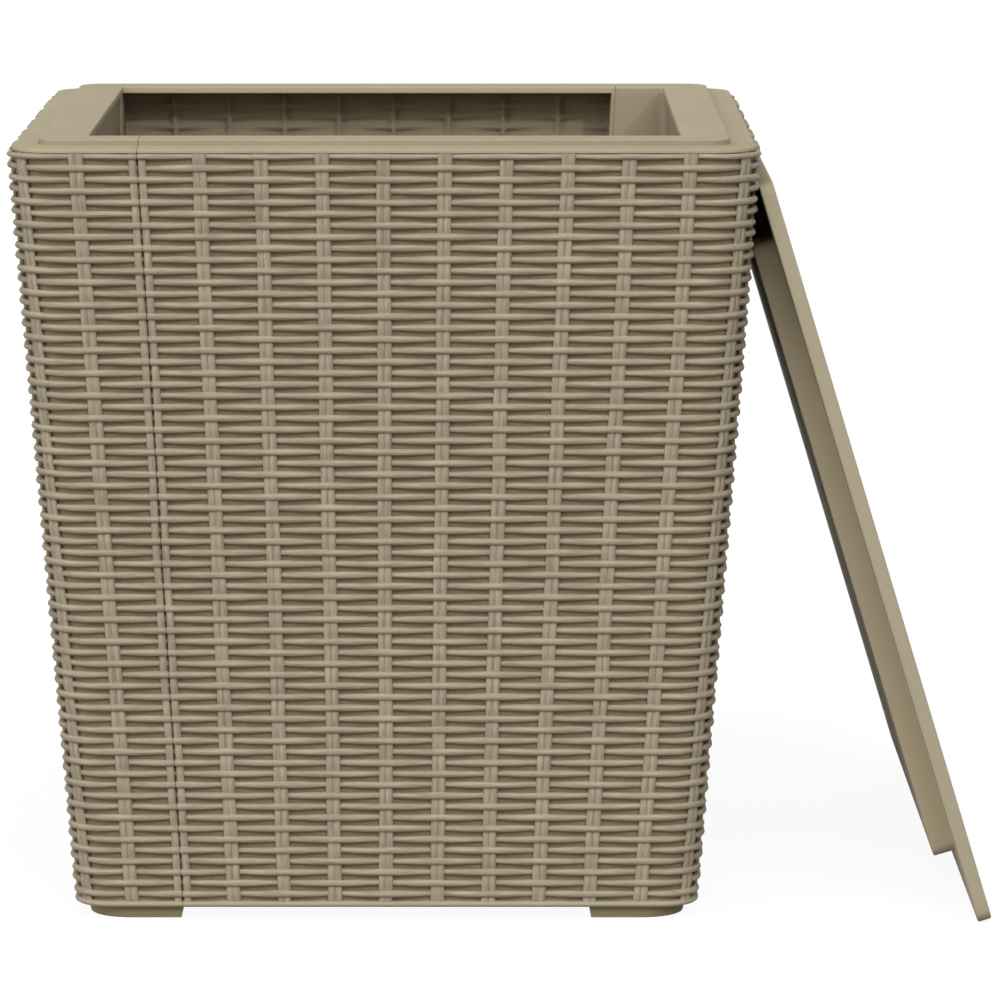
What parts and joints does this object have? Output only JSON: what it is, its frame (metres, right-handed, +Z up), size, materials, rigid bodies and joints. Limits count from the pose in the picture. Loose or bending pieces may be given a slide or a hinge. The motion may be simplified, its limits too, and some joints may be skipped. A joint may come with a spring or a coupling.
{
  "type": "propane tank cover table",
  "caption": "Tapered square box of moulded resin wicker that hides an upright gas cylinder, open at top and bottom, with a lift-off lid that serves as its table top and leans on one side here.",
  "frame": {"origin": "on the floor, in the middle of the whole footprint, the leaning lid included", "axes": "+Z up, -Y towards the front face, +X towards the side that the lid leans on"},
  "size_m": [0.6684, 0.5592, 0.5386],
  "materials": {
    "resin": "satin, fine moulded grain",
    "lid_resin": "satin, fine moulded grain",
    "foot_resin": "matt",
    "screw_steel": "zinc plated"
  },
  "bodies": {
    "body": {"body_half_right": "resin", "body_half_left": "resin", "foot_front_right": "foot_resin", "foot_rear_right": "foot_resin", "foot_rear_left": "foot_resin", "foot_front_left": "foot_resin", "foot_screw_front_right": "screw_steel", "foot_screw_rear_right": "screw_steel", "foot_screw_rear_left": "screw_steel", "foot_screw_front_left": "screw_steel", "seam_screw_front_1": "screw_steel", "seam_screw_front_2": "screw_steel", "seam_screw_front_3": "screw_steel", "seam_screw_rear_1": "screw_steel", "seam_screw_rear_2": "screw_steel", "seam_screw_rear_3": "screw_steel"},
    "lid": {"lid_top": "lid_resin", "lid_base": "lid_resin", "lid_screw_1": "screw_steel", "lid_screw_2": "screw_steel", "lid_screw_3": "screw_steel", "lid_screw_4": "screw_steel", "lid_screw_5": "screw_steel"}
  },
  "joints": [
    {"name": "lid_lift", "type": "slide", "parent": "body", "child": "lid", "axis": [0.342, 0, 0.9397], "range_m": [0, 0.6]}
  ]
}
